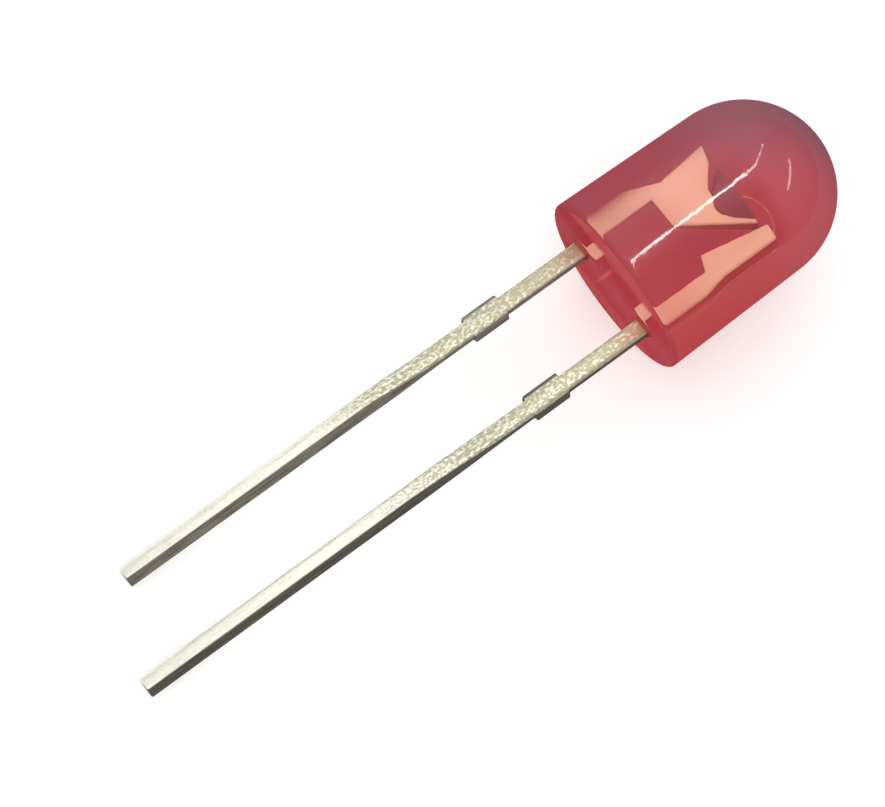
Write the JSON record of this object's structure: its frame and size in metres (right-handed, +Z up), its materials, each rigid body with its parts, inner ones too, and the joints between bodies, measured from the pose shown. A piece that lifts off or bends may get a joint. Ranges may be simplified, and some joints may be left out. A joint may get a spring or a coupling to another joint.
{
  "type": "through hole led",
  "caption": "Round red light-emitting diode with a domed translucent body and straight leads for through-hole mounting.",
  "frame": {"origin": "centre of the body's flat base, between the two leads", "axes": "+X along the body towards the dome with the leads towards -X, +Z up as the part lies on a surface; the axis of the body leans up towards the dome by 8.6 degrees"},
  "size_m": [0.0218, 0.005, 0.0055],
  "materials": {
    "lens": "gloss",
    "leads": "satin",
    "die_attach": "satin",
    "led_chip": "gloss",
    "bond_wire": "polished"
  },
  "bodies": {
    "root": {"lens": "lens", "cathode_lead": "leads", "anode_lead": "leads", "die_attach": "die_attach", "led_chip": "led_chip", "bond_wire": "bond_wire"}
  },
  "joints": []
}
